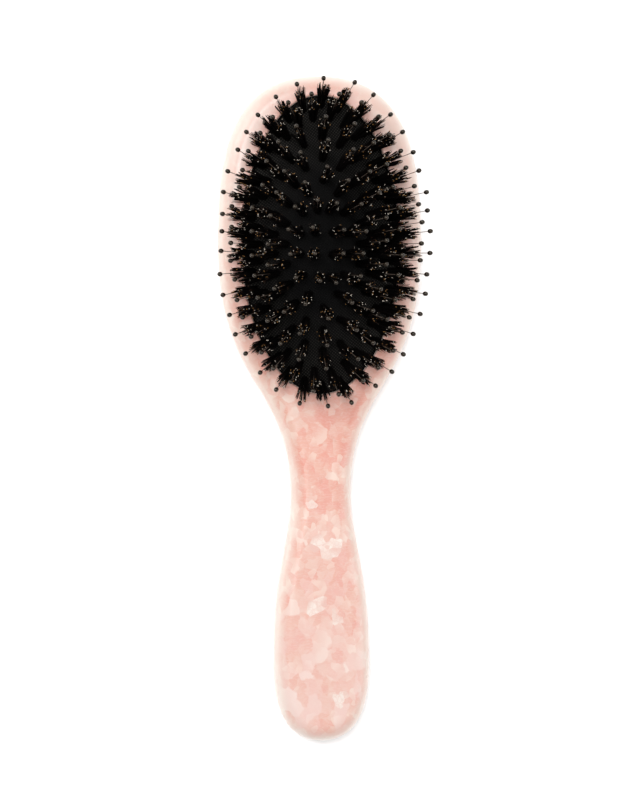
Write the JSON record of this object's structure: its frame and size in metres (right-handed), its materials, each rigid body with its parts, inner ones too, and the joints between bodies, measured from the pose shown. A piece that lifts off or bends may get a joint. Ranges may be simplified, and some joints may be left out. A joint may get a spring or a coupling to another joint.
{
  "type": "hairbrush",
  "caption": "Oval cushion hairbrush with a one-piece pearly acetate handle and a domed rubber cushion that gives when its bristle tufts and ball-tipped pins are pressed.",
  "frame": {"origin": "on the flat back, straight under the middle of the cushion", "axes": "+X across the brush, +Y along it toward the top of the head, +Z out of the bristles"},
  "size_m": [0.0706, 0.2251, 0.043],
  "materials": {
    "acetate": "gloss",
    "rubber": "matte",
    "bristle": "satin",
    "nylon": "satin"
  },
  "bodies": {
    "handle": {"handle_body": "acetate", "cushion_pad": "rubber"},
    "zone_edge": {"tufts_1_upper_right": "bristle", "pins_1_upper_right": "nylon", "tufts_1_top": "bristle", "pins_1_top": "nylon", "tufts_1_upper_left": "bristle", "pins_1_upper_left": "nylon", "tufts_1_lower_left": "bristle", "pins_1_lower_left": "nylon", "tufts_1_bottom": "bristle", "pins_1_bottom": "nylon", "tufts_1_lower_right": "bristle", "pins_1_lower_right": "nylon"},
    "zone_outer": {"tufts_2_upper_right": "bristle", "pins_2_upper_right": "nylon", "tufts_2_top": "bristle", "pins_2_top": "nylon", "tufts_2_upper_left": "bristle", "pins_2_upper_left": "nylon", "tufts_2_lower_left": "bristle", "pins_2_lower_left": "nylon", "tufts_2_bottom": "bristle", "pins_2_bottom": "nylon", "tufts_2_lower_right": "bristle", "pins_2_lower_right": "nylon"},
    "zone_middle": {"tufts_3_right": "bristle", "pins_3_right": "nylon", "tufts_3_top": "bristle", "pins_3_top": "nylon", "tufts_3_left": "bristle", "pins_3_left": "nylon", "tufts_3_bottom": "bristle", "pins_3_bottom": "nylon"},
    "zone_inner": {"tufts_4_right": "bristle", "pins_4_right": "nylon", "tufts_4_top": "bristle", "pins_4_top": "nylon", "tufts_4_left": "bristle", "pins_4_left": "nylon", "tufts_4_bottom": "bristle", "pins_4_bottom": "nylon"},
    "zone_crown": {"tufts_5_right": "bristle", "pins_5_right": "nylon", "tufts_5_top": "bristle", "pins_5_top": "nylon", "tufts_5_left": "bristle", "pins_5_left": "nylon", "tufts_5_bottom": "bristle", "pins_5_bottom": "nylon", "tufts_6_right": "bristle", "pins_6_right": "nylon", "tufts_6_left": "bristle", "pins_6_left": "nylon"}
  },
  "joints": [
    {"name": "cushion_press", "type": "slide", "parent": "handle", "child": "zone_crown", "axis": [0, 0, 1], "range_m": [-0.0046, 0], "stiffness_N_per_m": 3500, "deforming": ["cushion_pad"]},
    {"name": "inner_press", "type": "slide", "parent": "handle", "child": "zone_inner", "axis": [0, 0, 1], "range_m": [-0.0038, 0]},
    {"name": "middle_press", "type": "slide", "parent": "handle", "child": "zone_middle", "axis": [0, 0, 1], "range_m": [-0.0029, 0]},
    {"name": "outer_press", "type": "slide", "parent": "handle", "child": "zone_outer", "axis": [0, 0, 1], "range_m": [-0.0018, 0]},
    {"name": "edge_press", "type": "slide", "parent": "handle", "child": "zone_edge", "axis": [0, 0, 1], "range_m": [-0.00095, 0]}
  ],
  "couplings": [
    {"joint": "inner_press", "follows": "cushion_press", "ratio": 0.79},
    {"joint": "middle_press", "follows": "cushion_press", "ratio": 0.61},
    {"joint": "outer_press", "follows": "cushion_press", "ratio": 0.36},
    {"joint": "edge_press", "follows": "cushion_press", "ratio": 0.19}
  ]
}
